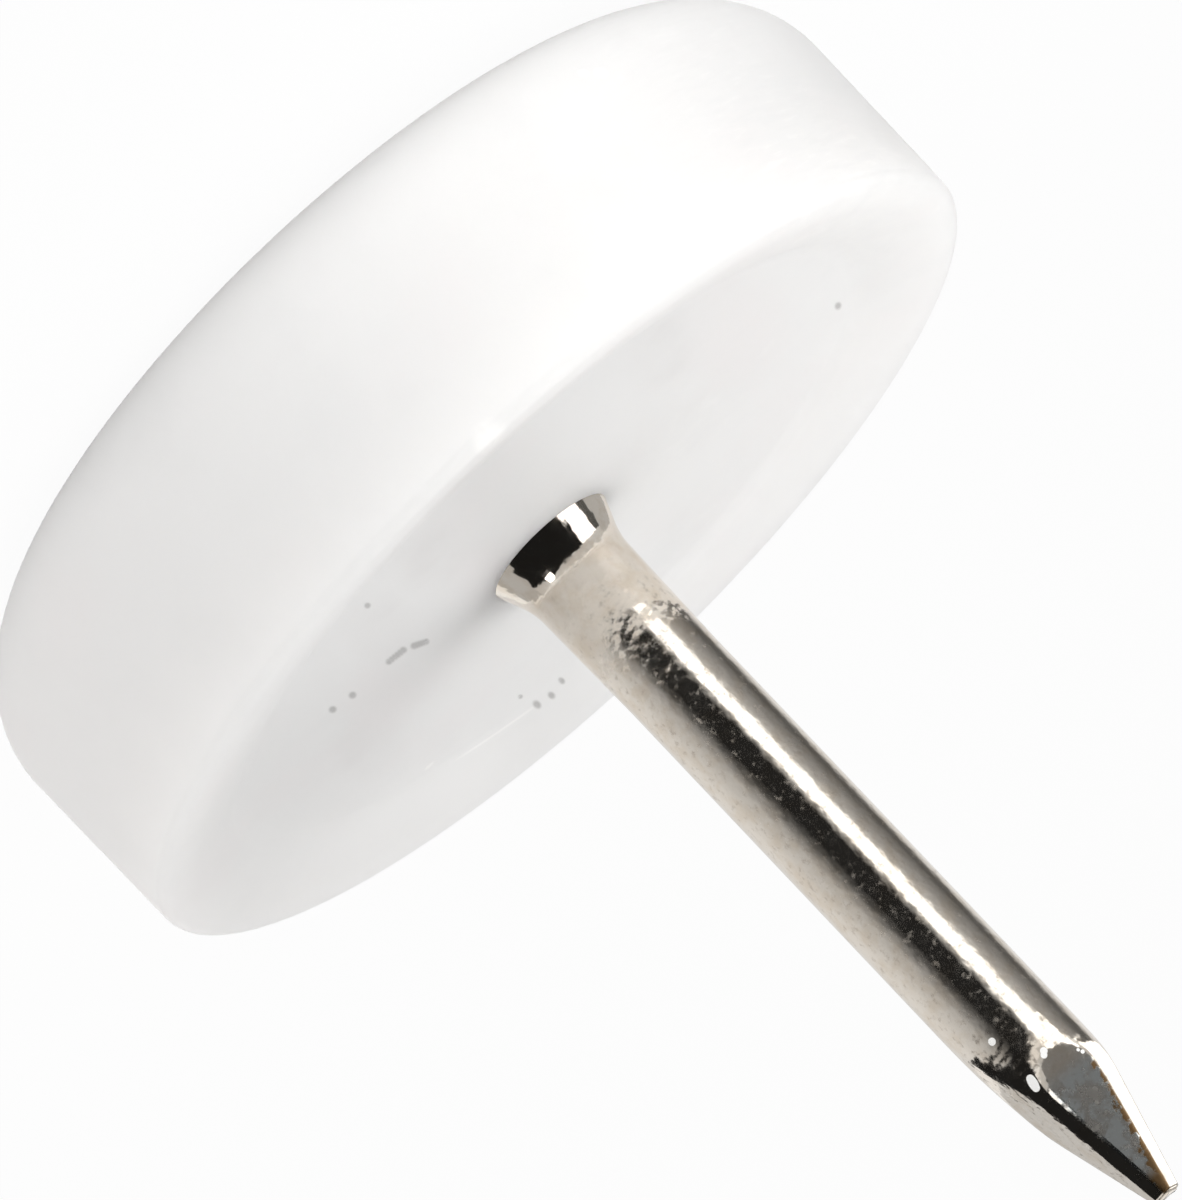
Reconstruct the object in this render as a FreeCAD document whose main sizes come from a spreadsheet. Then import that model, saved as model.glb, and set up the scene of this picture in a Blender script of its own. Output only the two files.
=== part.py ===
"""Nail-on furniture glide: a white plastic pad moulded round the head of a plated steel nail.

The glide stands on its glide face at Z = 0 with its axis on Z, and the nail points up.
Lengths are in millimetres and angles in degrees.
"""

import FreeCAD
import Part

import math
import os

import Sketcher
from FreeCAD import Vector

# name: (value, what it measures)
SIZES = {
    "pad_height": (6.1, "glide face to seat rim"),
    "rim_diameter": (20.0, "pad across the seat rim, before its edge is rounded"),
    "wall_draft": (1.25, "lean of the wall, which widens towards the glide face"),
    "foot_diameter": (9.0, "flat middle of the glide face"),
    "crown_radius": (60.0, "slight crown of the glide face outside its flat middle"),
    "edge_rounding": (2.2, "glide face into the wall"),
    "rim_rounding": (0.25, "wall into the seat rim"),
    "rim_width": (0.65, "flat seat rim, before its edge is rounded"),
    "dish_drop": (0.25, "fall of the face from the seat rim to the edge of the recess"),
    "recess_diameter": (16.4, "shallow recess round the nail"),
    "recess_depth": (0.5, "seat rim to the recess floor"),
    "recess_bevel": (0.06, "both edges of the recess wall"),
    "head_depth": (1.72, "recess floor to the flat of the nail's head"),
    "nail_length": (18.62, "flat of the head to the tip"),
    "head_diameter": (5.0, "head of the nail"),
    "head_edge": (0.6, "straight edge of the head, below its cone"),
    "head_angle": (90.0, "full angle of the cone under the head"),
    "neck_diameter": (2.19, "nail at the end of the flare"),
    "flare_radius": (1.1, "hollow curve from the cone into the neck"),
    "taper_length": (2.7, "neck down to the straight shank"),
    "shank_diameter": (2.1, "straight shank"),
    "point_length": (3.55, "start of the point's flats to the tip"),
    "point_sides": (4, "flats of the cut point"),
    "tip_width": (0.45, "blunt tip across its flats"),
    "ridge_rounding": (0.12, "ridges between the flats"),
    "tip_rounding": (0.06, "round the blunt tip"),
}

START, END, CENTRE = 1, 2, 3
ORIGIN = (-1, START)
NEAR = 1e-4


def size(name):
    """The value of one of the named sizes."""
    return SIZES[name][0]


class Profile:
    """A closed outline in a body's XZ plane, with the radius along x and the height along y."""

    def __init__(self, body, name):
        plane = next(item for item in body.Origin.OriginFeatures if item.Role == "XZ_Plane")
        self.sketch = body.newObject("Sketcher::SketchObject", name)
        self.sketch.AttachmentSupport = [(plane, "")]
        self.sketch.MapMode = "FlatFace"

    def line(self, start, end):
        """Draw a straight edge."""
        return self.sketch.addGeometry(Part.LineSegment(Vector(*start), Vector(*end)))

    def arc(self, centre, radius, first, last):
        """Draw an arc that runs anticlockwise between two angles."""
        circle = Part.Circle(Vector(*centre), Vector(0, 0, 1), radius)
        return self.sketch.addGeometry(Part.ArcOfCircle(circle, math.radians(first), math.radians(last)))

    def guide(self, place):
        """Draw a construction point."""
        return self.sketch.addGeometry(Part.Point(Vector(*place)), True)

    def rule(self, kind, *where):
        """Add a constraint that has no size."""
        self.sketch.addConstraint(Sketcher.Constraint(kind, *where))

    def chain(self, *edges):
        """Join the end of each edge to the start of the next."""
        for edge, following in zip(edges, edges[1:]):
            self.rule("Coincident", edge, END, following, START)

    def dimension(self, name, expression, kind, *where):
        """Add a dimension that follows the sheet."""
        value = self.sketch.evalExpression(expression)
        value = math.radians(value.Value) if kind == "Angle" else value
        number = self.sketch.addConstraint(Sketcher.Constraint(kind, *where, value))
        self.sketch.renameConstraint(number, name)
        self.sketch.setExpression(f"Constraints.{name}", expression)

    def revolve(self, body, name):
        """Turn the outline round the Z axis into a solid."""
        solid = body.newObject("PartDesign::Revolution", name)
        solid.Profile = self.sketch
        solid.ReferenceAxis = (self.sketch, ["V_Axis"])
        solid.Angle = 360
        body.Document.recompute()
        return solid

    def ring(self, feature, edge, end):
        """The circular edge that one end of a drawn edge has swept on a feature."""
        corner = self.sketch.getPoint(edge, end)
        for number, candidate in enumerate(feature.Shape.Edges, start=1):
            curve = candidate.Curve
            if not isinstance(curve, Part.Circle):
                continue
            if abs(curve.Radius - corner.x) < NEAR and abs(curve.Center.z - corner.y) < NEAR:
                return f"Edge{number}"
        raise ValueError(f"no circular edge at radius {corner.x:.3f}, height {corner.y:.3f}")


def make_sheet(doc):
    """Write the sizes to the sheet that drives the model."""
    sheet = doc.addObject("Spreadsheet::Sheet", "Sizes")
    for row, (alias, (value, note)) in enumerate(SIZES.items(), start=1):
        sheet.set(f"A{row}", note)
        sheet.set(f"B{row}", str(value))
        sheet.setAlias(f"B{row}", alias)
    doc.recompute()


def round_edges(body, name, base, edges, expression):
    """Round some edges of a feature, with a radius that follows the sheet."""
    fillet = body.newObject("PartDesign::Fillet", name)
    fillet.Base = (base, edges)
    fillet.setExpression("Radius", expression)
    body.Document.recompute()
    return fillet


def bevel_edges(body, name, base, edges, expression):
    """Break some edges of a feature with an even bevel, with a width that follows the sheet."""
    chamfer = body.newObject("PartDesign::Chamfer", name)
    chamfer.Base = (base, edges)
    chamfer.setExpression("Size", expression)
    body.Document.recompute()
    return chamfer


def make_pad_blank(doc):
    """The pad as turned, before the nail takes its place in it."""
    body = doc.addObject("PartDesign::Body", "PadBlank")
    foot_radius = size("foot_diameter") / 2
    crown_radius = size("crown_radius")
    edge_radius = size("edge_rounding")
    rim_radius = size("rim_diameter") / 2
    rim_height = size("pad_height")
    dish_radius = rim_radius - size("rim_width")
    recess_radius = size("recess_diameter") / 2
    recess_height = rim_height - size("dish_drop")
    floor_height = rim_height - size("recess_depth")
    wall_lean = math.radians(size("wall_draft"))
    wall_radius = rim_radius + (rim_height - edge_radius) * math.tan(wall_lean)
    edge_centre = wall_radius - edge_radius
    crown_sweep = math.asin((edge_centre - foot_radius) / (crown_radius - edge_radius))
    edge_height = crown_radius - (crown_radius - edge_radius) * math.cos(crown_sweep)
    crown_end = math.degrees(crown_sweep) - 90

    outline = Profile(body, "PadOutline")
    foot = outline.line((0, 0), (foot_radius, 0))
    crown = outline.arc((foot_radius, crown_radius), crown_radius, -90, crown_end)
    edge = outline.arc((edge_centre, edge_height), edge_radius, crown_end, size("wall_draft"))
    wall = outline.line((wall_radius, edge_height), (rim_radius, rim_height))
    rim = outline.line((rim_radius, rim_height), (dish_radius, rim_height))
    dish = outline.line((dish_radius, rim_height), (recess_radius, recess_height))
    step = outline.line((recess_radius, recess_height), (recess_radius, floor_height))
    floor = outline.line((recess_radius, floor_height), (0, floor_height))
    axis = outline.line((0, floor_height), (0, 0))

    outline.rule("Coincident", foot, START, *ORIGIN)
    outline.rule("Tangent", foot, END, crown, START)
    outline.rule("Tangent", crown, END, edge, START)
    outline.rule("Tangent", edge, END, wall, START)
    outline.chain(wall, rim, dish, step, floor, axis, foot)
    for level in (foot, rim, floor):
        outline.rule("Horizontal", level)
    for upright in (step, axis):
        outline.rule("Vertical", upright)
    outline.dimension("foot", "Sizes.foot_diameter / 2", "DistanceX", foot, START, foot, END)
    outline.dimension("crown", "Sizes.crown_radius", "Radius", crown)
    outline.dimension("edge", "Sizes.edge_rounding", "Radius", edge)
    outline.dimension("draft", "(90 + Sizes.wall_draft) * 1 deg", "Angle", wall)
    outline.dimension("rim", "Sizes.rim_diameter / 2", "DistanceX", *ORIGIN, wall, END)
    outline.dimension("height", "Sizes.pad_height", "DistanceY", *ORIGIN, wall, END)
    outline.dimension("rim_width", "Sizes.rim_width", "DistanceX", rim, END, rim, START)
    outline.dimension("dish", "Sizes.dish_drop", "DistanceY", dish, END, dish, START)
    outline.dimension("recess", "Sizes.recess_diameter / 2", "DistanceX", *ORIGIN, dish, END)
    outline.dimension("depth", "Sizes.recess_depth", "DistanceY", floor, START, rim, END)

    turned = outline.revolve(body, "PadTurned")
    rim_ring = outline.ring(turned, wall, END)
    rim_edge = round_edges(body, "RimEdge", turned, [rim_ring], "Sizes.rim_rounding")
    recess_edges = [outline.ring(rim_edge, step, end) for end in (START, END)]
    bevel_edges(body, "RecessEdges", rim_edge, recess_edges, "Sizes.recess_bevel")
    return body


def make_nail(doc):
    """The nail, turned on its own axis from the flat of the head, with the flats of the point cut on."""
    body = doc.addObject("PartDesign::Body", "Nail")
    body.Label = "nail"
    body.setExpression("Placement.Base.z", "Sizes.pad_height - Sizes.recess_depth - Sizes.head_depth")
    head_radius = size("head_diameter") / 2
    head_top = size("head_edge")
    neck_radius = size("neck_diameter") / 2
    flare_radius = size("flare_radius")
    cone_lean = math.radians(size("head_angle") / 2)
    cone_top_radius = neck_radius + flare_radius * (1 - math.cos(cone_lean))
    cone_top = head_top + (head_radius - cone_top_radius) / math.tan(cone_lean)
    neck_height = cone_top + flare_radius * math.sin(cone_lean)
    shank_radius = size("shank_diameter") / 2
    shank_start = neck_height + size("taper_length")
    tip_height = size("nail_length")

    outline = Profile(body, "NailOutline")
    flat = outline.line((0, 0), (head_radius, 0))
    head_edge = outline.line((head_radius, 0), (head_radius, head_top))
    cone = outline.line((head_radius, head_top), (cone_top_radius, cone_top))
    flare = outline.arc(
        (neck_radius + flare_radius, neck_height), flare_radius, 180, 180 + size("head_angle") / 2
    )
    taper = outline.line((neck_radius, neck_height), (shank_radius, shank_start))
    shank = outline.line((shank_radius, shank_start), (shank_radius, tip_height))
    tip = outline.line((shank_radius, tip_height), (0, tip_height))
    axis = outline.line((0, tip_height), (0, 0))

    outline.rule("Coincident", flat, START, *ORIGIN)
    outline.chain(flat, head_edge, cone)
    outline.rule("Tangent", cone, END, flare, END)
    outline.rule("Coincident", flare, START, taper, START)
    outline.rule("Horizontal", flare, CENTRE, flare, START)
    outline.chain(taper, shank, tip, axis, flat)
    for level in (flat, tip):
        outline.rule("Horizontal", level)
    for upright in (head_edge, shank, axis):
        outline.rule("Vertical", upright)
    outline.dimension("head", "Sizes.head_diameter / 2", "DistanceX", flat, START, flat, END)
    outline.dimension("head_edge", "Sizes.head_edge", "DistanceY", head_edge, START, head_edge, END)
    outline.dimension("cone", "(90 + Sizes.head_angle / 2) * 1 deg", "Angle", cone)
    outline.dimension("flare", "Sizes.flare_radius", "Radius", flare)
    outline.dimension("neck", "Sizes.neck_diameter / 2", "DistanceX", *ORIGIN, taper, START)
    outline.dimension("taper", "Sizes.taper_length", "DistanceY", taper, START, taper, END)
    outline.dimension("shank", "Sizes.shank_diameter / 2", "DistanceX", *ORIGIN, taper, END)
    outline.dimension("length", "Sizes.nail_length", "DistanceY", *ORIGIN, shank, END)

    turned = outline.revolve(body, "NailTurned")
    cut_point(body, turned)
    return body


def cut_point(body, blank):
    """Cut the flats of the point: one wedge outside a slanting flat, repeated round the axis."""
    shank_radius = size("shank_diameter") / 2
    tip_radius = size("tip_width") / 2
    tip_height = size("nail_length")
    point_start = tip_height - size("point_length")
    climb = size("point_length") / (shank_radius - tip_radius)
    outside = 2 * shank_radius
    above = tip_height + size("tip_width")
    low = (outside, point_start - (outside - shank_radius) * climb)
    high = (tip_radius - (above - tip_height) / climb, above)
    corner = (outside, above)

    wedge = Profile(body, "PointWedge")
    slant = wedge.line(low, high)
    top = wedge.line(high, corner)
    side = wedge.line(corner, low)
    shoulder = wedge.guide((shank_radius, point_start))
    tip_edge = wedge.guide((tip_radius, tip_height))

    wedge.chain(slant, top, side, slant)
    wedge.rule("Horizontal", top)
    wedge.rule("Vertical", side)
    wedge.rule("PointOnObject", shoulder, START, slant)
    wedge.rule("PointOnObject", tip_edge, START, slant)
    wedge.dimension("shoulder", "Sizes.shank_diameter / 2", "DistanceX", *ORIGIN, shoulder, START)
    wedge.dimension("point", "Sizes.point_length", "DistanceY", shoulder, START, tip_edge, START)
    wedge.dimension("tip", "Sizes.tip_width / 2", "DistanceX", *ORIGIN, tip_edge, START)
    wedge.dimension("tip_height", "Sizes.nail_length", "DistanceY", *ORIGIN, tip_edge, START)
    wedge.dimension("outside", "Sizes.shank_diameter", "DistanceX", *ORIGIN, side, START)
    wedge.dimension("above", "Sizes.nail_length + Sizes.tip_width", "DistanceY", *ORIGIN, side, START)

    flat = body.newObject("PartDesign::Pocket", "PointFlat")
    flat.Profile = wedge.sketch
    flat.Type = "ThroughAll"
    flat.SideType = "Symmetric"
    body.Document.recompute()

    flats = body.newObject("PartDesign::PolarPattern", "PointFlats")
    flats.Originals = [flat]
    flats.Axis = (wedge.sketch, ["V_Axis"])
    flats.Angle = 360
    flats.setExpression("Occurrences", "Sizes.point_sides")
    body.Tip = flats
    body.Document.recompute()
    if not flats.Shape.Volume < flat.Shape.Volume < blank.Shape.Volume:
        raise RuntimeError("the flats of the point cut nothing")

    ridges = [
        f"Edge{number}"
        for number, edge in enumerate(flats.Shape.Edges, start=1)
        if isinstance(edge.Curve, Part.Line) and point_start < edge.BoundBox.ZMin < tip_height - NEAR
    ]
    ridged = round_edges(body, "PointRidges", flats, ridges, "Sizes.ridge_rounding")
    tip_edges = [
        f"Edge{number}"
        for number, edge in enumerate(ridged.Shape.Edges, start=1)
        if edge.BoundBox.ZMin > tip_height - NEAR
    ]
    round_edges(body, "TipEdge", ridged, tip_edges, "Sizes.tip_rounding")


def make_pad(doc, blank, nail):
    """The pad as moulded: the plastic closes round the nail with no gap, so the nail is its own seat."""
    pad = doc.addObject("Part::Cut", "Pad")
    pad.Label = "glide_pad"
    pad.Base = blank
    pad.Tool = nail
    doc.recompute()
    return pad


def check(doc, sub_parts):
    """Stop if a feature failed or a sub-part isn't one sound solid."""
    for item in doc.Objects:
        if "Invalid" in item.State or "Error" in item.State:
            raise RuntimeError(f"{item.Label} failed: {item.State}")
    for item in sub_parts:
        shape = item.Shape
        if shape.isNull() or not shape.isValid() or len(shape.Solids) != 1:
            raise RuntimeError(f"{item.Label} is not one sound solid")


def main():
    doc = FreeCAD.newDocument("NailOnGlide")
    make_sheet(doc)
    blank = make_pad_blank(doc)
    nail = make_nail(doc)
    pad = make_pad(doc, blank, nail)
    check(doc, [pad, nail])
    os.makedirs("parts", exist_ok=True)
    for item in (pad, nail):
        item.Shape.exportStep(os.path.join("parts", f"{item.Label}.step"))
        print(f"{item.Label}: {item.Shape.Volume:.2f} mm3")


main()
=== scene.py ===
"""Nail-on furniture glide: a satin white plastic pad moulded on a bright plated steel nail.

The pieces replace the CAD nodes glide_pad and nail, in metres and in the CAD frame: the glide stands on its
glide face at Z = 0 with its axis on Z, and the nail points up.
"""

import math

import bmesh
import bpy
from mathutils import Matrix, Vector


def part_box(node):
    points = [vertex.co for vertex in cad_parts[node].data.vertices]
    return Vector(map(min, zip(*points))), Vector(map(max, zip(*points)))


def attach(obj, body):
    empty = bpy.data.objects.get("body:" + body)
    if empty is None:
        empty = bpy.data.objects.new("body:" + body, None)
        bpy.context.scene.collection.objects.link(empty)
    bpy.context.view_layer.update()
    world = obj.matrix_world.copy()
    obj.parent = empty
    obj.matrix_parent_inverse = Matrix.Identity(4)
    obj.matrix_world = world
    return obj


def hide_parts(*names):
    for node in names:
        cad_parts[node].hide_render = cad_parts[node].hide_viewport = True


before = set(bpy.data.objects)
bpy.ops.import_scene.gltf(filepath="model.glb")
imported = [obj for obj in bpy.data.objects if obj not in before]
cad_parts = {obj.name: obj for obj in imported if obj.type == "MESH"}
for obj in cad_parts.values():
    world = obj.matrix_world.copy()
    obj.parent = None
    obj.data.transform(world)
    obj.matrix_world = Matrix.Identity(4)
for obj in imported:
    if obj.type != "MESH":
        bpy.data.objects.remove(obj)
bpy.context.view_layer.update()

bl_info = {
    "name": "Nail-On Furniture Glide",
    "version": (1, 0, 0),
    "blender": (4, 5, 0),
    "location": "3D View > Sidebar > Glide",
    "description": "Makes a moulded glide pad, its plated nail and a plain studio stage",
    "category": "Add Mesh",
}

MM = 0.001
NEAR = 1e-6
BODY = "root"
WHITE = (1.0, 1.0, 1.0)
WARM = (1.0, 0.96, 0.94)
PAD_LOW, PAD_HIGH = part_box("glide_pad")
NAIL_LOW, NAIL_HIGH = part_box("nail")


def length(name, description, default):
    """A size in metres that a user may change."""
    return bpy.props.FloatProperty(
        name=name, description=description, default=default, min=0.0, precision=5, unit="LENGTH"
    )


def angle(name, description, degrees):
    """An angle that a user may change, given in degrees."""
    return bpy.props.FloatProperty(
        name=name, description=description, default=math.radians(degrees), unit="ROTATION"
    )


def level(name, description, default, top=4.0):
    """A plain number from nought that a user may change."""
    return bpy.props.FloatProperty(name=name, description=description, default=default, min=0.0, max=top)


def colour(name, description, default):
    """A linear colour that a user may change."""
    return bpy.props.FloatVectorProperty(
        name=name, description=description, default=default, size=3, min=0.0, max=1.0, subtype="COLOR"
    )


class PadSettings(bpy.types.PropertyGroup):
    """Sizes and colours of the moulded pad."""

    width: length("Width", "Pad across its widest ring", 2 * min(PAD_HIGH.x, PAD_HIGH.y))
    height: length("Height", "Glide face to seat rim", PAD_HIGH.z)
    draft: angle("Draft", "Lean of the wall, which widens towards the glide face", 1.25)
    foot_width: length("Foot width", "Flat middle of the glide face", 9.0 * MM)
    foot_rounding: length("Foot rounding", "Flat middle of the glide face into the crown", 1.6 * MM)
    crown: angle("Crown", "Rise of the glide face outside its flat middle", 1.9)
    edge_rounding: length("Edge rounding", "Glide face into the wall", 2.2 * MM)
    rim_rounding: length("Rim rounding", "Wall into the seat rim", 0.25 * MM)
    rim_width: length("Rim width", "Flat seat rim, before its edge is rounded", 0.65 * MM)
    dish_drop: length("Dish drop", "Fall of the face from the seat rim to the recess", 0.25 * MM)
    recess_width: length("Recess width", "Shallow recess round the nail", 16.4 * MM)
    recess_depth: length("Recess depth", "Seat rim to the recess floor", 0.5 * MM)
    recess_slant: length("Recess slant", "How far the recess wall leans out of upright", 0.45 * MM)
    recess_rounding: length("Recess rounding", "Both edges of the recess wall", 0.24 * MM)
    plastic: colour("Plastic", "Moulded plastic", (0.90, 0.893, 0.885))
    cloud: colour("Cloud", "Faint greyer clouds in the plastic", (0.875, 0.869, 0.863))
    blush: colour("Blush", "Faint warm patches in the plastic", (0.90, 0.874, 0.868))
    # greyer patches on the recess floor at given spots
    grey_patch: colour("Smudges", "Faint greyish smudges on the recess floor", (0.845, 0.832, 0.824))
    speck: colour("Specks", "Dirt pressed into the face", (0.42, 0.41, 0.40))
    # also the colour of the painted highlights: glints on the near rim and the recess floor, and the light
    # line along the recess wall
    fleck_and_glint: colour("Flecks", "Small nicks and hairlines that catch the light", (0.99, 0.98, 0.965))
    satin: level("Satin", "Roughness of the moulded skin", 0.50, 1.0)
    depth: length("Depth", "How far light wanders in the plastic", 2.0 * MM)


class NailSettings(bpy.types.PropertyGroup):
    """Sizes and colours of the plated nail."""

    head_height: length("Head height", "Flat of the head above the floor", NAIL_LOW.z)
    tip_height: length("Tip height", "Tip above the floor", NAIL_HIGH.z)
    head_width: length("Head width", "Head, hidden in the pad", 5.0 * MM)
    head_edge: length("Head edge", "Straight edge of the head, below its cone", 0.6 * MM)
    neck_width: length("Neck width", "Nail at the end of the flare", 2.19 * MM)
    flare_length: length("Flare length", "Straight flare from the recess floor to the neck", 0.74 * MM)
    flare_rounding: length("Flare rounding", "Flare into the neck, along each of them", 0.22 * MM)
    taper_length: length("Taper length", "Neck down to the straight shank", 2.7 * MM)
    shank_width: length("Shank width", "Straight shank", 2.1 * MM)
    point_length: length("Point length", "Start of the front and back flats to the tip", 3.35 * MM)
    long_flat: length("Long flat", "Start of the one flat that was pressed deeper to the tip", 4.3 * MM)
    short_flat: length("Short flat", "Start of the flat across from the long one to the tip", 2.96 * MM)
    worn_ridge: length("Worn ridge", "Start of the worn ridges beside the front flat to the tip", 2.7 * MM)
    tip_width: length("Tip width", "Blunt tip across its front and back flats", 0.45 * MM)
    tip_skew: length("Tip skew", "Extra width of the tip on the side of the short flat", 0.09 * MM)
    tip_wear: length("Tip wear", "Less width of the tip across its worn ridges", 0.04 * MM)
    tip_rounding: length("Tip rounding", "Round the blunt tip", 0.10 * MM)
    ridge_softness: level("Ridge softness", "Rounding of the ridges as a share of the width", 0.06, 1.0)
    shoulder_softness: level("Shoulder softness", "Rounding where the flats leave the shank", 0.04, 1.0)
    plating: colour("Plating", "Bright plating", (0.80, 0.74, 0.66))
    bloom: colour("Bloom", "Warmer patches in the plating", (0.74, 0.66, 0.56))
    bare: colour("Bare", "Cut steel of the front flat, greyer than the plating", (0.71, 0.74, 0.73))
    stain: colour("Stain", "Duller, browner plating in the pits", (0.42, 0.36, 0.30))
    rust: colour("Rust", "Brown stain along a ridge of the point", (0.20, 0.125, 0.06))
    # painted highlight: white spots stand for the glints of small dents in the plating
    painted_glint: colour("Flakes", "White flakes stuck to the nail", (0.95, 0.95, 0.93))
    polish: level("Polish", "Roughness of the plating", 0.09, 1.0)


class StageSettings(bpy.types.PropertyGroup):
    """The view and the studio round the glide."""

    elevation: angle("Elevation", "Camera above the seat rim's plane", 14.6)
    azimuth: angle("Azimuth", "Turn of the camera round the nail", 17.0)
    roll: angle("Roll", "Turn of the picture", 136.5)
    distance: length("Distance", "Camera to the middle of the seat rim", 160.0 * MM)
    shift_right: length("Shift right", "Camera to the right of the seat rim's middle", 0.419 * MM)
    shift_down: length("Shift down", "Camera below the seat rim's middle", 0.654 * MM)
    lens: bpy.props.FloatProperty(
        name="Lens", description="Focal length", default=256.6, min=1.0, unit="CAMERA"
    )
    paper: colour("Paper", "Plain floor", (0.93, 0.93, 0.93))
    sky_level: level("Sky", "Even light from all round", 0.47)
    key_level: level("Key", "Small soft lamp close by, low at the camera's left", 0.115)
    side_level: level("Side", "Small soft lamp close by, high at the camera's left", 0.36)
    front_level: level("Front", "Low lamp at the camera", 0.25)
    fill_level: level("Fill", "Warm lamp close by at the camera's right", 0.15)
    top_level: level("Top", "Wide lamp overhead", 0.17)


class Wire:
    """The value of a socket; Python arithmetic on it adds Math nodes."""

    def __init__(self, finish, socket):
        self.finish = finish
        self.socket = socket

    def maths(self, operation, *values):
        return self.finish.node("ShaderNodeMath", {"operation": operation}, dict(enumerate(values)))

    def __add__(self, other):
        return self.maths("ADD", self, other)

    def __sub__(self, other):
        return self.maths("SUBTRACT", self, other)

    def __rsub__(self, other):
        return self.maths("SUBTRACT", other, self)

    def __mul__(self, other):
        return self.maths("MULTIPLY", self, other)

    __radd__ = __add__
    __rmul__ = __mul__

    def most(self, other):
        return self.maths("MAXIMUM", self, other)

    def ramp(self, low, high):
        """0 below low and 1 above high, smooth between; low may be the larger."""
        settings = {"interpolation_type": "SMOOTHSTEP"}
        return self.finish.node(
            "ShaderNodeMapRange", settings, {"Value": self, "From Min": low, "From Max": high}
        )


# share of a spot's radius that is fully covered
SPOT_HEART = 0.3


class Finish:
    """The node tree of one material or world."""

    def __init__(self, owner):
        owner.use_nodes = True
        self.tree = owner.node_tree
        self.tree.nodes.clear()

    def node(self, kind, settings=None, inputs=None, output=0):
        """Add a node, set it up, then fill its sockets with values or wires; gives one output as a wire."""
        made = self.tree.nodes.new(kind)
        for name, value in (settings or {}).items():
            if name == "stops":
                self.fill_ramp(made.color_ramp.elements, value)
            else:
                setattr(made, name, value)
        for name, value in (inputs or {}).items():
            if isinstance(value, Wire):
                self.tree.links.new(value.socket, made.inputs[name])
            else:
                made.inputs[name].default_value = value
        return Wire(self, made.outputs[output]) if made.outputs else None

    def fill_ramp(self, elements, stops):
        """Give a colour ramp its stops, as (position, grey level) pairs."""
        while len(elements) > 1:
            elements.remove(elements[-1])
        for number, (position, grey) in enumerate(stops):
            stop = elements[0] if number == 0 else elements.new(position)
            stop.position = position
            stop.color = (grey, grey, grey, 1.0)

    def place(self):
        """Object coordinates."""
        return self.node("ShaderNodeTexCoord", output="Object")

    def moved(self, vector, scale, shift=(0.0, 0.0, 0.0)):
        """A vector scaled and shifted."""
        return self.node("ShaderNodeMapping", None, {"Vector": vector, "Scale": scale, "Location": shift})

    def noise(self, vector, scale, detail, roughness):
        """Noise from 0 to 1, with scale in lumps a metre."""
        inputs = {"Vector": vector, "Scale": scale, "Detail": detail, "Roughness": roughness}
        return self.node("ShaderNodeTexNoise", None, inputs)

    def blend(self, factor, first, second):
        """One colour going over into another."""
        settings = {"data_type": "RGBA"}
        return self.node("ShaderNodeMix", settings, {0: factor, 6: first, 7: second}, output=2)

    def layered(self, ground, layers):
        """A ground colour under layers, given as (how much, colour) from the bottom up."""
        tone = rgba(ground)
        for factor, layer in layers:
            tone = self.blend(factor, tone, rgba(layer))
        return tone

    def away(self, vector, point):
        """Distance to a fixed point."""
        return self.node("ShaderNodeVectorMath", {"operation": "DISTANCE"}, {0: vector, 1: point}, output=1)

    def parts(self, vector):
        """The x, y and z of a vector."""
        split = self.node("ShaderNodeSeparateXYZ", None, {"Vector": vector}).socket.node
        return [Wire(self, socket) for socket in split.outputs]

    def spots(self, vector, centres):
        """1 at some fixed spots, given as (x, y, z, radius) in millimetres, and soft round them."""
        mask = None
        for *centre, radius in centres:
            point = [part * MM for part in centre]
            spot = self.away(vector, point).ramp(radius * MM, radius * SPOT_HEART * MM)
            mask = mask.most(spot) if mask else spot
        return mask

    def bump(self, height, distance, normal=None):
        """A normal from a height from 0 to 1, with the distance in metres."""
        inputs = {"Height": height, "Distance": distance, "Strength": 1.0}
        if normal:
            inputs["Normal"] = normal
        return self.node("ShaderNodeBump", None, inputs)

    def surface(self, shader):
        """End the tree of a material."""
        self.node("ShaderNodeOutputMaterial", None, {"Surface": shader})


def rgba(tint):
    """A colour as four numbers, with full opacity."""
    return (*tint, 1.0)


# marks on the pad, as (x, y, z, radius) in millimetres
SPECKS = (
    (4.70, -4.62, 5.6, 0.08), (4.95, -0.61, 5.6, 0.10), (5.44, -0.70, 5.6, 0.10), (0.40, 7.03, 5.6, 0.07),
    (0.01, 7.91, 5.70, 0.10), (-0.35, 7.96, 5.73, 0.09), (-0.66, 7.81, 5.67, 0.08), (-7.26, -0.44, 5.6, 0.10),
)  # fmt: skip
# greyer patches on the recess floor, as (x, y, z, radius) in millimetres
GREY_PATCHES = (
    (3.07, -4.43, 5.6, 1.0), (4.29, -2.77, 5.6, 0.9), (4.36, 3.21, 5.6, 0.9), (-2.35, -5.64, 5.6, 1.0),
)  # fmt: skip
BLUSHES = ((1.65, -1.12, 5.6, 0.9), (4.30, 0.60, 5.6, 1.0), (-4.53, -3.11, 5.6, 1.5))
# painted highlights and white flecks: the first spot is a painted glint on the near rim, the last a short
# painted glint on the recess floor, and the three on the wall are white flecks
GLINTS_AND_FLECKS = (
    (2.38, -9.55, 6.08, 0.45), (-3.95, -9.19, 1.92, 0.18), (-3.70, -9.28, 1.75, 0.14),
    (-4.18, -9.08, 2.20, 0.12), (2.78, 6.75, 5.6, 0.16),
)  # fmt: skip
# smears of dirt, by the marks at their two ends
SMEARS = (
    ((4.06, -0.83, 5.6, 0.09), (3.71, -0.82, 5.6, 0.10)),
    ((3.43, -0.59, 5.6, 0.10), (3.13, -0.30, 5.6, 0.09)),
)
SMEAR_SPOTS = 6
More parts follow.
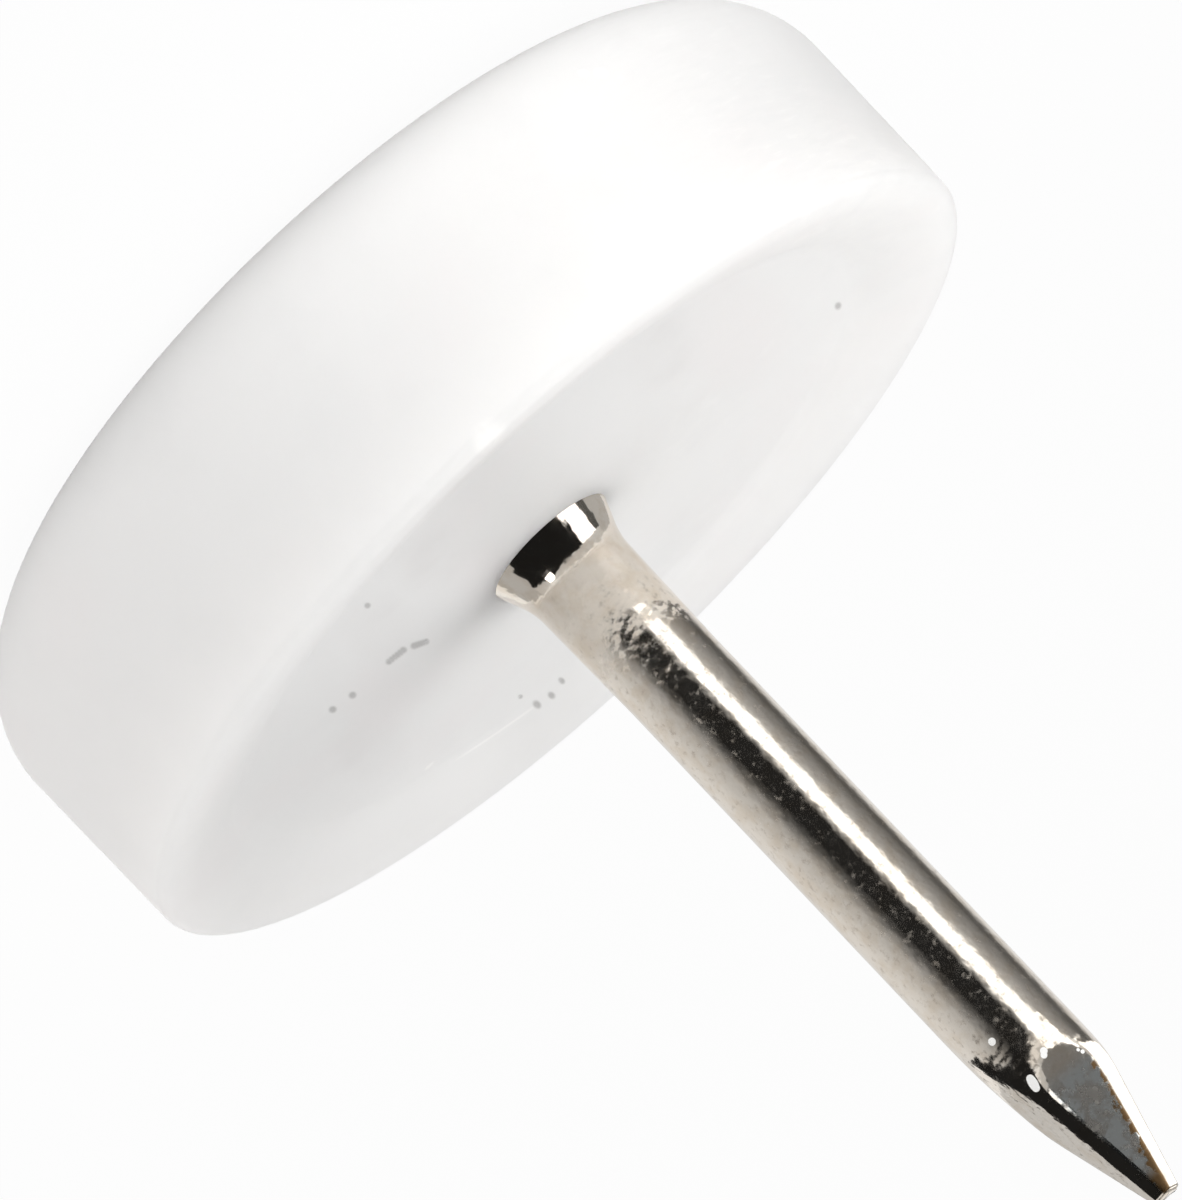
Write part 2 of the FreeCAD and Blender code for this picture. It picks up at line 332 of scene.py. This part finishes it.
# the marks on the face are stretched by this factor along Y, turned by this angle
MARK_TURN = math.radians(17.0)
MARK_STRETCH = 3.5
# a painted highlight: a thin light line along the far foot of the recess wall, which drifts inwards as it
# runs along X
GLINT_LINE_RADIUS = 7.92 * MM
GLINT_LINE_DRIFT = 0.07
GLINT_LINE_WIDTH = 0.06 * MM


def smear(first, last):
    """A smear of dirt as a row of close spots."""
    steps = [step / (SMEAR_SPOTS - 1) for step in range(SMEAR_SPOTS)]
    return [Vector(first).lerp(Vector(last), step) for step in steps]


def drawn_out(marks):
    """Marks on the face as the drawn-out pattern has them."""
    moved = []
    for x, y, z, radius in marks:
        turned = Matrix.Rotation(-MARK_TURN, 2) @ Vector((x, y))
        moved.append((turned.x, turned.y / MARK_STRETCH, z, radius))
    return moved


def painted_edge_glint(skin, place):
    """1 on a thin painted highlight along the far foot of the recess wall, where its edge catches the light.
    """
    across, ahead, _height = skin.parts(place)
    out = skin.away(skin.moved(place, (1.0, 1.0, 0.0)), (0.0, 0.0, 0.0)) + across * GLINT_LINE_DRIFT
    inside = out.ramp(GLINT_LINE_RADIUS - GLINT_LINE_WIDTH, GLINT_LINE_RADIUS)
    outside = out.ramp(GLINT_LINE_RADIUS + GLINT_LINE_WIDTH, GLINT_LINE_RADIUS)
    ends = across.ramp(-0.2 * MM, 0.4 * MM) * across.ramp(2.3 * MM, 1.6 * MM)
    return inside * outside * ends * ahead.ramp(6.0 * MM, 7.0 * MM)


def satin_plastic(pad):
    """Moulded plastic: a satin, cloudy skin with faint hairlines, marks where they were found, and painted
    highlights on the near rim, the recess floor and the far foot of the recess wall.
    """
    material = bpy.data.materials.new("satin_plastic")
    skin = Finish(material)
    place = skin.place()
    across, _ahead, _height = skin.parts(place)
    drawn = skin.node(
        "ShaderNodeMapping",
        {"vector_type": "TEXTURE"},
        {"Vector": place, "Rotation": (0.0, 0.0, MARK_TURN), "Scale": (1.0, MARK_STRETCH, 1.0)},
    )

    cloud = skin.noise(place, 420.0, 3.0, 0.55).ramp(0.45, 0.75)
    elsewhere = skin.moved(place, (1.0, 1.0, 1.0), (0.02, 0.01, 0.0))
    blush = skin.noise(elsewhere, 300.0, 2.0, 0.5).ramp(0.50, 0.72)
    grain = skin.noise(place, 4200.0, 2.0, 0.6)
    hairs = skin.noise(skin.moved(place, (1400.0, 1400.0, 8000.0)), 1.0, 3.0, 0.6)
    scratched = skin.noise(place, 120.0, 1.0, 0.5).ramp(0.35, 0.60) * across.ramp(0.0, -5.0 * MM)
    dirt = skin.spots(drawn, drawn_out([*SPECKS, *smear(*SMEARS[0]), *smear(*SMEARS[1])]))

    layers = (
        (cloud * 0.6, pad.cloud),
        (blush * 0.4, pad.blush),
        (skin.spots(drawn, drawn_out(GREY_PATCHES)) * (cloud * 0.6 + 0.4), pad.grey_patch),
        (skin.spots(drawn, drawn_out(BLUSHES)) * 0.7, pad.blush),
        (hairs.ramp(0.50, 0.34) * scratched * 0.7, pad.cloud),
        (hairs.ramp(0.54, 0.70) * scratched * 0.28, pad.fleck_and_glint),
        # painted glints on the near rim and the recess floor, and white flecks on the wall
        (skin.spots(place, GLINTS_AND_FLECKS) * grain.ramp(0.1, 0.5), pad.fleck_and_glint),
        # painted highlight along the far foot of the recess wall
        (painted_edge_glint(skin, place), pad.fleck_and_glint),
        (dirt * grain.ramp(0.0, 0.5) * 0.75, pad.speck),
    )
    shader = skin.node(
        "ShaderNodeBsdfPrincipled",
        {"subsurface_method": "BURLEY"},
        {
            "Base Color": skin.layered(pad.plastic, layers),
            "Roughness": pad.satin + (grain - 0.5) * 0.04 + (hairs - 0.5) * 0.06,
            "Normal": skin.bump(hairs * scratched, 0.0002 * MM),
            "IOR": 1.5,
            "Subsurface Weight": 1.0,
            "Subsurface Radius": (1.0, 0.96, 0.92),
            "Subsurface Scale": pad.depth,
        },
    )
    skin.surface(shader)
    return material


# painted highlights on the nail: white spots for the glints of small dents, as (x, y, z, radius) in
# millimetres
PAINTED_GLINTS = (
    (0.656, -0.820, 18.38, 0.11), (0.12, -1.04, 19.17, 0.11), (0.17, -1.03, 19.23, 0.10),
    (0.61, -0.83, 19.37, 0.12), (0.62, -0.825, 19.415, 0.135), (0.63, -0.82, 19.46, 0.14),
    (0.64, -0.815, 19.505, 0.135), (0.65, -0.81, 19.55, 0.12),
    (-0.40, -0.94, 19.55, 0.05), (-0.44, -0.90, 19.62, 0.06),
)  # fmt: skip


def front_flat(metal, nail, place):
    """1 on the front flat of the point, and 1 on its rust, which lies along one edge and at the tip."""
    across, ahead, height = metal.parts(place)
    ragged = metal.noise(place, 5000.0, 3.0, 0.7)
    below_tip = nail.tip_height - height
    shank = nail.shank_width / 2
    half_tip = nail.tip_width / 2
    worn_tip = half_tip - nail.tip_wear

    # how far the surface lies behind the front flat, and behind the worn flat beside it
    behind = ahead + half_tip + below_tip * ((shank - half_tip) / nail.point_length)
    beside = (across + ahead) * math.sqrt(0.5) + worn_tip + below_tip * ((shank - worn_tip) / nail.worn_ridge)
    point = below_tip.ramp(3.0 * MM, 2.6 * MM)
    flat = behind.ramp(0.05 * MM, 0.01 * MM) * point
    edge = (beside + (ragged - 0.5) * (0.42 * MM)).ramp(0.11 * MM, 0.05 * MM)
    edge = edge * behind.ramp(0.045 * MM, 0.02 * MM) * point
    tip = below_tip.ramp(0.62 * MM, 0.32 * MM) * behind.ramp(0.06 * MM, 0.02 * MM) * ragged.ramp(0.30, 0.46)
    return flat, edge.most(tip)


def bright_plating(nail):
    """Bright plating over drawn wire: finely pitted, so that the edges of its reflections are ragged, with
    painted highlights.
    """
    material = bpy.data.materials.new("bright_plating")
    metal = Finish(material)
    place = metal.place()
    _across, _ahead, height = metal.parts(place)

    lumps = metal.noise(metal.moved(place, (1.0, 1.0, 0.8)), 4600.0, 1.5, 0.5)
    pits = metal.noise(place, 7000.0, 2.0, 0.6)
    waves = metal.noise(metal.moved(place, (1.0, 1.0, 0.25)), 900.0, 2.0, 0.5)
    patches = metal.noise(place, 2400.0, 3.0, 0.6)
    dull = pits.ramp(0.52, 0.78) * height.ramp(5.6 * MM, 9.0 * MM)
    flat, rust = front_flat(metal, nail, place)
    # painted highlights: white, non-metallic spots for the glints of small dents
    painted_glint = metal.spots(place, PAINTED_GLINTS).ramp(0.30, 0.55)

    layers = (
        (patches.ramp(0.40, 0.70), nail.bloom),
        (flat, nail.bare),
        ((dull * 0.5).most(flat * patches.ramp(0.42, 0.58) * 0.6), nail.stain),
        (rust, nail.rust),
        (painted_glint, nail.painted_glint),
    )
    rough = nail.polish + dull * 0.20 + (lumps - 0.5) * 0.06
    rough = rough + flat * patches.ramp(0.35, 0.65) * 0.18 + rust * 0.3
    shader = metal.node(
        "ShaderNodeBsdfPrincipled",
        None,
        {
            "Base Color": metal.layered(nail.plating, layers),
            "Roughness": rough,
            "Normal": metal.bump(lumps, 0.009 * MM, metal.bump(waves, 0.006 * MM)),
            "Metallic": 1.0 - painted_glint,
        },
    )
    metal.surface(shader)
    return material


# share of plain white in what the floor shows; the rest keeps the shadow
FLOOR_WHITE = 0.95
FLOOR_RADIUS = 1.5


def paper_floor(stage):
    """A plain pale floor that shows white and keeps the soft shadow of the glide."""
    material = bpy.data.materials.new("paper_floor")
    paper = Finish(material)
    plain = paper.node("ShaderNodeBsdfDiffuse", None, {"Color": rgba(stage.paper)})
    white = paper.node("ShaderNodeEmission", None, {"Color": rgba(WHITE), "Strength": 1.0})
    share = seen_straight(paper) * FLOOR_WHITE
    paper.surface(paper.node("ShaderNodeMixShader", None, {0: share, 1: plain, 2: white}))
    return material


def seen_straight(finish):
    """1 for what the camera, a mirror or clear glass shows, and 0 for what only gives light."""
    rays = finish.node("ShaderNodeLightPath").socket.node
    camera, glossy, clear = (
        Wire(finish, rays.outputs[name])
        for name in ("Is Camera Ray", "Is Glossy Ray", "Is Transmission Ray")
    )
    return camera.most(glossy).most(clear)


def plain_card(name, shade):
    """A studio card of one even shade, seen only in reflections."""
    material = bpy.data.materials.new(name)
    material.cycles.emission_sampling = "NONE"
    card = Finish(material)
    card.surface(card.node("ShaderNodeEmission", None, {"Color": rgba(WHITE), "Strength": shade}))
    return material


# degrees to the camera's left of the view, and how bright the ring on the floor is there
RING_SHADES = (
    (-180, 0.40), (-125, 0.44), (-100, 0.40), (-60, 0.28), (-42, 0.15), (-30, 0.05), (-18, 0.01),
    (19, 0.01), (29, 0.25), (34, 1.0), (56, 1.0), (63, 0.32), (74, 0.22), (90, 0.15), (105, 0.10),
    (116, 0.06), (127, 0.08), (138, 0.34), (150, 0.45), (180, 0.45),
)  # fmt: skip
RING_STRENGTH = 1.9
RING_OUTLINE = ((30 * MM, 0.3 * MM), (170 * MM, 0.3 * MM))


def shaded_ring(front):
    """A card whose shade changes round the nail, for the bands that the shank shows."""
    material = bpy.data.materials.new("shaded_ring")
    material.cycles.emission_sampling = "NONE"
    card = Finish(material)
    turned = card.node("ShaderNodeMapping", None, {"Vector": card.place(), "Rotation": (0.0, 0.0, -front)})
    ahead, aside, _up = card.parts(turned)
    share = 0.5 - aside.maths("ARCTAN2", aside, ahead) * (0.5 / math.pi)
    stops = [((degrees + 180) / 360, shade) for degrees, shade in RING_SHADES]
    shade = card.node("ShaderNodeValToRGB", {"stops": stops}, {"Fac": share})
    card.surface(card.node("ShaderNodeEmission", None, {"Color": shade, "Strength": RING_STRENGTH}))
    return material


# distance of the cards far off, of one in front of them and of those beside the point
ARCH_REACH = 0.8
SPOT_REACH = 0.77
NEAR_REACH = 8 * MM
ARCH_STEPS = 8
CARD_STEPS = 48


def arch(low, high, reach=ARCH_REACH):
    """The upright outline of a card far off, between two lifts in degrees above the floor."""
    lifts = [math.radians(low + (high - low) * step / ARCH_STEPS) for step in range(ARCH_STEPS + 1)]
    return [(reach * math.cos(lift), reach * math.sin(lift)) for lift in lifts]


def upright(low, high):
    """The outline of a card beside the point of the nail, between two heights in millimetres."""
    return [(NEAR_REACH, low * MM), (NEAR_REACH, high * MM)]


# name, shade, outline, from and to in degrees to the camera's left of the view
CARDS = (
    ("black_front_card", 0.012, arch(9.5, 88), -82, 48),
    ("white_side_card", 2.0, arch(10, 68), 50, 88),
    ("dark_side_card", 0.10, arch(10, 68), 88, 104),
    ("grey_side_card", 0.50, arch(0.5, 80), 104, 165),
    ("grey_right_card", 0.50, arch(0.5, 80), -125, -82),
    ("pale_low_card", 0.62, arch(0.5, 9.5), -82, 104),
    ("bright_spot_card", 4.0, arch(3, 15, SPOT_REACH), -50, -36),
    ("near_black_card", 0.015, upright(17.4, 26), -135, -18),
    ("near_grey_card", 0.21, upright(19.6, 26), 8, 66),
    ("near_glint_card", 1.6, upright(21.2, 22.9), -14, 3),
    ("near_white_card", 2.0, upright(17.4, 19.6), 30, 66),
    ("near_back_card", 0.62, upright(18.5, 26), -180, -136),
    ("near_side_card", 2.0, upright(18.5, 26), 78, 140),
)
# name, degrees to the camera's left, lift in degrees, distance and width in millimetres, tint
LAMPS = (
    ("key", 37, 2, 28, 14, WHITE),
    ("side", 95, 58, 24, 16, WHITE),
    ("front", 15, 4, 200, 34, WHITE),
    ("fill", -88, 4, 50, 16, WARM),
    ("top", -70, 82, 300, 260, WHITE),
)


def turn(bm, outline, steps, start=0.0, sweep=2 * math.pi):
    """Spin an outline of (radius, height) points round the Z axis; a full turn closes on itself."""
    points = [bm.verts.new((radius, 0.0, height)) for radius, height in outline]
    edges = [bm.edges.new(pair) for pair in zip(points, points[1:])]
    bmesh.ops.rotate(bm, verts=points, matrix=Matrix.Rotation(start, 3, "Z"))
    bmesh.ops.spin(
        bm,
        geom=points + edges,
        axis=(0.0, 0.0, 1.0),
        angle=sweep,
        steps=steps,
        use_merge=math.isclose(sweep, 2 * math.pi),
    )
    bmesh.ops.remove_doubles(bm, verts=bm.verts, dist=NEAR)
    bmesh.ops.recalc_face_normals(bm, faces=bm.faces)


def ring(bm, point):
    """The edges of the ring that one point of the outline has swept."""
    radius, height = point

    def on_ring(vert):
        return abs(vert.co.xy.length - radius) < NEAR and abs(vert.co.z - height) < NEAR

    return [edge for edge in bm.edges if on_ring(edge.verts[0]) and on_ring(edge.verts[1])]


def soften(bm, edges, width, segments):
    """Round some edges, with the width of the rounding on each face beside them."""
    if not edges:
        raise RuntimeError("there are no edges to round")
    bmesh.ops.bevel(
        bm,
        geom=edges,
        offset=width,
        offset_type="OFFSET",
        affect="EDGES",
        segments=segments,
        profile=0.5,
        material=-1,
    )


def keep(bm, name, material):
    """Turn a bmesh into an object of the scene."""
    mesh = bpy.data.meshes.new(name)
    bm.to_mesh(mesh)
    bm.free()
    mesh.shade_smooth()
    mesh.materials.append(material)
    piece = bpy.data.objects.new(name, mesh)
    bpy.context.scene.collection.objects.link(piece)
    return piece


def stand_for(piece, node):
    """Let a finished piece take the place of its CAD node, with even shading beside its roundings."""
    piece.modifiers.new("Even shading", "WEIGHTED_NORMAL").keep_sharp = True
    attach(piece, BODY)
    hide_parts(node)


def soft_least(lengths, softness):
    """The least of some lengths, with a soft passage from one to another."""
    power = 1.0 / softness
    return sum(item**-power for item in lengths) ** -softness


def nail_corners(nail, floor):
    """The nail's outline up to the recess floor, as (radius, height) points from the axis outwards."""
    head = nail.head_width / 2
    edge_top = nail.head_height + nail.head_edge
    return [
        (0.0, nail.head_height),
        (head, nail.head_height),
        (head, edge_top),
        (head - (floor - edge_top), floor),
    ]


PAD_STEPS = 256
# share of the edge rounding that lies on each face beside it
EDGE_REACH = 0.95


class GLIDE_OT_make_pad(bpy.types.Operator):
    """Turn the moulded pad, round its edges and finish it in satin plastic"""

    bl_idname = "glide.make_pad"
    bl_label = "Make Pad"

    def execute(self, context):
        pad = context.scene.glide_pad
        nail = context.scene.glide_nail
        floor = pad.height - pad.recess_depth
        recess = pad.recess_width / 2
        lean = math.tan(pad.draft)
        foot = (pad.foot_width / 2, 0.0)
        widest = pad.width / 2
        corner_height = (widest - foot[0]) * math.tan(pad.crown)
        corner = (widest + (pad.edge_rounding - corner_height) * lean, corner_height)
        rim = (widest - (pad.height - pad.edge_rounding) * lean, pad.height)
        rim_inside = (rim[0] - pad.rim_width, pad.height)
        recess_edge = (recess, pad.height - pad.dish_drop)
        recess_foot = (recess - pad.recess_slant, floor)
        outline = [(0.0, 0.0), foot, corner, rim, rim_inside, recess_edge, recess_foot]
        outline += reversed(nail_corners(nail, floor))

        bm = bmesh.new()
        turn(bm, outline, PAD_STEPS)
        soften(bm, ring(bm, foot), pad.foot_rounding, 6)
        soften(bm, ring(bm, corner), pad.edge_rounding * EDGE_REACH, 24)
        soften(bm, ring(bm, rim), pad.rim_rounding, 8)
        soften(bm, ring(bm, rim_inside), pad.rim_width / 4, 4)
        soften(bm, ring(bm, recess_edge), pad.recess_rounding, 4)
        soften(bm, ring(bm, recess_foot), pad.recess_rounding, 4)
        stand_for(keep(bm, "moulded_pad", satin_plastic(pad)), "glide_pad")
        return {"FINISHED"}


NAIL_STEPS = 128
POINT_CUTS = 119
# a flat reaches only those points of a ring that face it at least this much, as a cosine
LEAST_FACING = 0.1


class GLIDE_OT_make_nail(bpy.types.Operator):
    """Turn the nail, cut the flats of its point, round its edges and plate it"""

    bl_idname = "glide.make_nail"
    bl_label = "Make Nail"

    def execute(self, context):
        nail = context.scene.glide_nail
        pad = context.scene.glide_pad
        floor = pad.height - pad.recess_depth
        shank = nail.shank_width / 2
        neck = (nail.neck_width / 2, floor + nail.flare_length)
        shank_foot = (shank, neck[1] + nail.taper_length)
        point_foot = (shank, nail.tip_height - nail.long_flat - nail.shank_width / 4)
        outline = nail_corners(nail, floor) + [neck, shank_foot, point_foot]
        outline += [(shank, nail.tip_height), (0.0, nail.tip_height)]

        bm = bmesh.new()
        turn(bm, outline, NAIL_STEPS)
        soften(bm, ring(bm, neck), nail.flare_rounding, 12)
        self.press_point(bm, nail, point_foot)
        soften(bm, self.tip_edges(bm, nail), nail.tip_rounding, 4)
        stand_for(keep(bm, "plated_nail", bright_plating(nail)), "nail")
        return {"FINISHED"}

    def press_point(self, bm, nail, point_foot):
        """Divide the end of the shank into fine rings and press the flats into them."""
        uprights = [
            edge
            for edge in bm.edges
            if min(vert.co.z for vert in edge.verts) > point_foot[1] - NEAR
            and edge.verts[0].co.xy.length > NEAR
            and edge.verts[1].co.xy.length > NEAR
            and abs(edge.verts[0].co.z - edge.verts[1].co.z) > NEAR
        ]
        bmesh.ops.subdivide_edges(bm, edges=uprights, cuts=POINT_CUTS, use_grid_fill=True)
        half_tip = nail.tip_width / 2
        # direction, length and half the tip's width of each flat
        flats = (
            (Vector((0.0, -1.0)), nail.point_length, half_tip),
            (Vector((1.0, -1.0)).normalized(), nail.worn_ridge, half_tip - nail.tip_wear),
            (Vector((1.0, 0.0)), nail.long_flat, half_tip),
            (Vector((0.0, 1.0)), nail.point_length, half_tip),
            (Vector((-1.0, 0.0)), nail.short_flat, half_tip + nail.tip_skew),
            (Vector((-1.0, -1.0)).normalized(), nail.worn_ridge, half_tip - nail.tip_wear),
        )
        shank = nail.shank_width / 2
        for vert in bm.verts:
            reach = vert.co.xy.length
            if vert.co.z < point_foot[1] + NEAR or reach < NEAR:
                continue
            ends = []
            for facing, flat_length, tip in flats:
                depth = tip + (nail.tip_height - vert.co.z) * (shank - tip) / flat_length
                slant = vert.co.xy.dot(facing) / reach
                if slant > LEAST_FACING:
                    ends.append(depth / slant)
            pressed = soft_least([soft_least(ends, nail.ridge_softness), reach], nail.shoulder_softness)
            vert.co.xy *= pressed / reach

    def tip_edges(self, bm, nail):
        """The edges round the blunt tip."""

        def on_tip(vert):
            return abs(vert.co.z - nail.tip_height) < NEAR and vert.co.xy.length > NEAR

        return [edge for edge in bm.edges if on_tip(edge.verts[0]) and on_tip(edge.verts[1])]


class GLIDE_OT_set_stage(bpy.types.Operator):
    """Set up the camera, the pale floor, the soft lamps and the cards that the plating reflects"""

    bl_idname = "glide.set_stage"
    bl_label = "Set Stage"

    def execute(self, context):
        scene = context.scene
        stage = scene.glide_stage
        middle = Vector((0.0, 0.0, scene.glide_pad.height))
        self.place_camera(scene, stage, middle)
        self.lay_floor(stage)
        self.hang_cards(stage)
        for name, left, lift, distance, width, tint in LAMPS:
            brightness = getattr(stage, f"{name}_level")
            hung = self.hang_lamp(f"{name}_lamp", distance * MM, width * MM, brightness, tint)
            turned = (
                Matrix.Rotation(stage.azimuth - math.radians(left), 4, "Z")
                @ Matrix.Rotation(math.pi / 2 - math.radians(lift), 4, "X")
                @ Matrix.Translation((0.0, 0.0, distance * MM))
            )
            hung.matrix_world = Matrix.Translation(middle) @ turned
        self.light_sky(scene, stage)
        scene.view_settings.view_transform = "Standard"
        return {"FINISHED"}

    def place_camera(self, scene, stage, middle):
        """Look at the seat rim along the nail's slant."""
        turned = (
            Matrix.Rotation(stage.azimuth, 4, "Z")
            @ Matrix.Rotation(math.pi / 2 - stage.elevation, 4, "X")
            @ Matrix.Rotation(stage.roll, 4, "Z")
        )
        camera = bpy.data.cameras.new("photo_camera")
        camera.lens = stage.lens
        camera.clip_start = 10 * MM
        viewer = bpy.data.objects.new("photo_camera", camera)
        offset = Vector((stage.shift_right, -stage.shift_down, stage.distance))
        viewer.matrix_world = Matrix.Translation(middle + turned.to_3x3() @ offset) @ turned
        scene.collection.objects.link(viewer)
        scene.camera = viewer

    def lay_floor(self, stage):
        """Lay a wide round sheet of paper under the glide."""
        bm = bmesh.new()
        bmesh.ops.create_circle(bm, cap_ends=True, segments=96, radius=FLOOR_RADIUS)
        keep(bm, "floor", paper_floor(stage))

    def hang_cards(self, stage):
        """Cards that only reflections show: a ring of shades on the floor and dark and white ones above."""
        front = stage.azimuth - math.pi / 2
        self.hang_card("floor_ring", shaded_ring(front), RING_OUTLINE, front, -180, 180)
        for name, shade, outline, first, last in CARDS:
            self.hang_card(name, plain_card(name, shade), outline, front, first, last)

    def hang_card(self, name, material, outline, front, first, last):
        """Hang one card round the glide, between two angles in degrees to the camera's left of the view."""
        bm = bmesh.new()
        turn(bm, outline, CARD_STEPS, front - math.radians(last), math.radians(last - first))
        card = keep(bm, name, material)
        card.visible_camera = False
        card.visible_diffuse = False
        card.visible_shadow = False
        card.visible_transmission = False

    def hang_lamp(self, name, distance, width, brightness, tint):
        """A square soft lamp, whose brightness is what it adds to a white sheet that faces it."""
        lamp = bpy.data.lights.new(name, "AREA")
        lamp.size = width
        lamp.color = tint
        lamp.energy = brightness * math.pi**2 * distance**2
        hung = bpy.data.objects.new(name, lamp)
        hung.visible_camera = False
        hung.visible_glossy = False
        bpy.context.scene.collection.objects.link(hung)
        return hung

    def light_sky(self, scene, stage):
        """Even light all round, which shows white."""
        scene.world = bpy.data.worlds.new("studio_sky")
        sky = Finish(scene.world)
        seen = seen_straight(sky)
        strength = seen * (1.0 - stage.sky_level) + stage.sky_level
        light = sky.node("ShaderNodeBackground", None, {"Color": rgba(WHITE), "Strength": strength})
        sky.node("ShaderNodeOutputWorld", None, {"Surface": light})


class GLIDE_PT_panel(bpy.types.Panel):
    """Glide maker"""

    bl_label = "Nail-On Glide"
    bl_idname = "GLIDE_PT_panel"
    bl_space_type = "VIEW_3D"
    bl_region_type = "UI"
    bl_category = "Glide"

    def draw(self, context):
        for name, operator in MAKERS:
            box = self.layout.box()
            settings = getattr(context.scene, name)
            for setting in settings.bl_rna.properties:
                if setting.identifier not in ("rna_type", "name"):
                    box.prop(settings, setting.identifier)
            box.operator(operator)


SETTINGS = (
    ("glide_pad", PadSettings),
    ("glide_nail", NailSettings),
    ("glide_stage", StageSettings),
)
MAKERS = (
    ("glide_pad", GLIDE_OT_make_pad.bl_idname),
    ("glide_nail", GLIDE_OT_make_nail.bl_idname),
    ("glide_stage", GLIDE_OT_set_stage.bl_idname),
)
CLASSES = (
    PadSettings,
    NailSettings,
    StageSettings,
    GLIDE_OT_make_pad,
    GLIDE_OT_make_nail,
    GLIDE_OT_set_stage,
    GLIDE_PT_panel,
)


def register():
    for item in CLASSES:
        bpy.utils.register_class(item)
    for name, group in SETTINGS:
        setattr(bpy.types.Scene, name, bpy.props.PointerProperty(type=group))


def unregister():
    for name, _group in SETTINGS:
        delattr(bpy.types.Scene, name)
    for item in reversed(CLASSES):
        bpy.utils.unregister_class(item)


def main():
    """Make the pieces and the stage."""
    register()
    bpy.ops.glide.make_pad()
    bpy.ops.glide.make_nail()
    bpy.ops.glide.set_stage()


if __name__ == "__main__":
    main()
